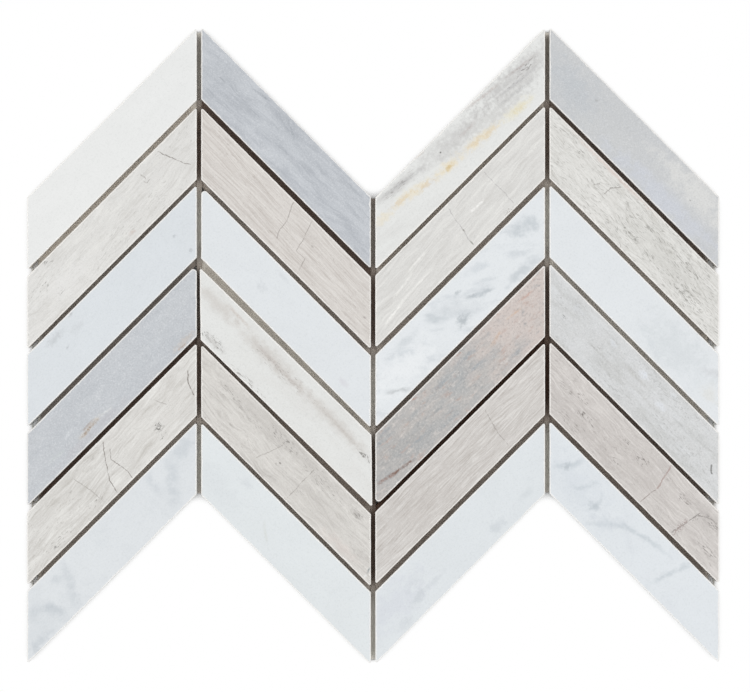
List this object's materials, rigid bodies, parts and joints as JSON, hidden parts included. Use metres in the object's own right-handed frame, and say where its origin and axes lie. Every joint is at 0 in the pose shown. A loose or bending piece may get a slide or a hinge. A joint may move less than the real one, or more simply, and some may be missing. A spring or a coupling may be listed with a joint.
{
  "type": "chevron stone mosaic sheet",
  "caption": "Chevron mosaic sheet: polished stone parallelograms set in zigzag rows with narrow open joints on a glass-fibre net, for tiling a wall.",
  "frame": {"origin": "on the floor under the middle of the sheet, which lies on its net with its face up", "axes": "+Z out of the polished face, +X along the sheet's width across the columns, +Y up the sheet towards its upper peaks"},
  "size_m": [0.2982, 0.2734, 0.01],
  "materials": {
    "white_marble": "polished",
    "grey_veined_white_marble": "polished",
    "blue_white_marble": "polished",
    "blue_grey_marble": "polished",
    "pale_grey_marble": "polished",
    "wood_grain_stone": "polished",
    "pink_grain_stone": "polished",
    "beige_lined_stone": "polished",
    "cream_stone": "polished",
    "gold_veined_marble": "polished",
    "taupe_streaked_marble": "polished",
    "rose_grey_marble": "polished",
    "glass_fibre_net": "matt"
  },
  "bodies": {
    "root": {"stone_column1_row1": "white_marble", "stone_column1_row2": "wood_grain_stone", "stone_column1_row3": "blue_white_marble", "stone_column1_row4": "blue_grey_marble", "stone_column1_row5": "wood_grain_stone", "stone_column1_row6": "grey_veined_white_marble", "stone_column2_row1": "blue_grey_marble", "stone_column2_row2": "pink_grain_stone", "stone_column2_row3": "white_marble", "stone_column2_row4": "taupe_streaked_marble", "stone_column2_row5": "wood_grain_stone", "stone_column2_row6": "white_marble", "stone_column3_row1": "gold_veined_marble", "stone_column3_row2": "wood_grain_stone", "stone_column3_row3": "grey_veined_white_marble", "stone_column3_row4": "rose_grey_marble", "stone_column3_row5": "beige_lined_stone", "stone_column3_row6": "white_marble", "stone_column4_row1": "pale_grey_marble", "stone_column4_row2": "cream_stone", "stone_column4_row3": "white_marble", "stone_column4_row4": "pale_grey_marble", "stone_column4_row5": "pink_grain_stone", "stone_column4_row6": "grey_veined_white_marble", "net_column1": "glass_fibre_net", "net_column2": "glass_fibre_net", "net_column3": "glass_fibre_net", "net_column4": "glass_fibre_net"}
  },
  "joints": []
}
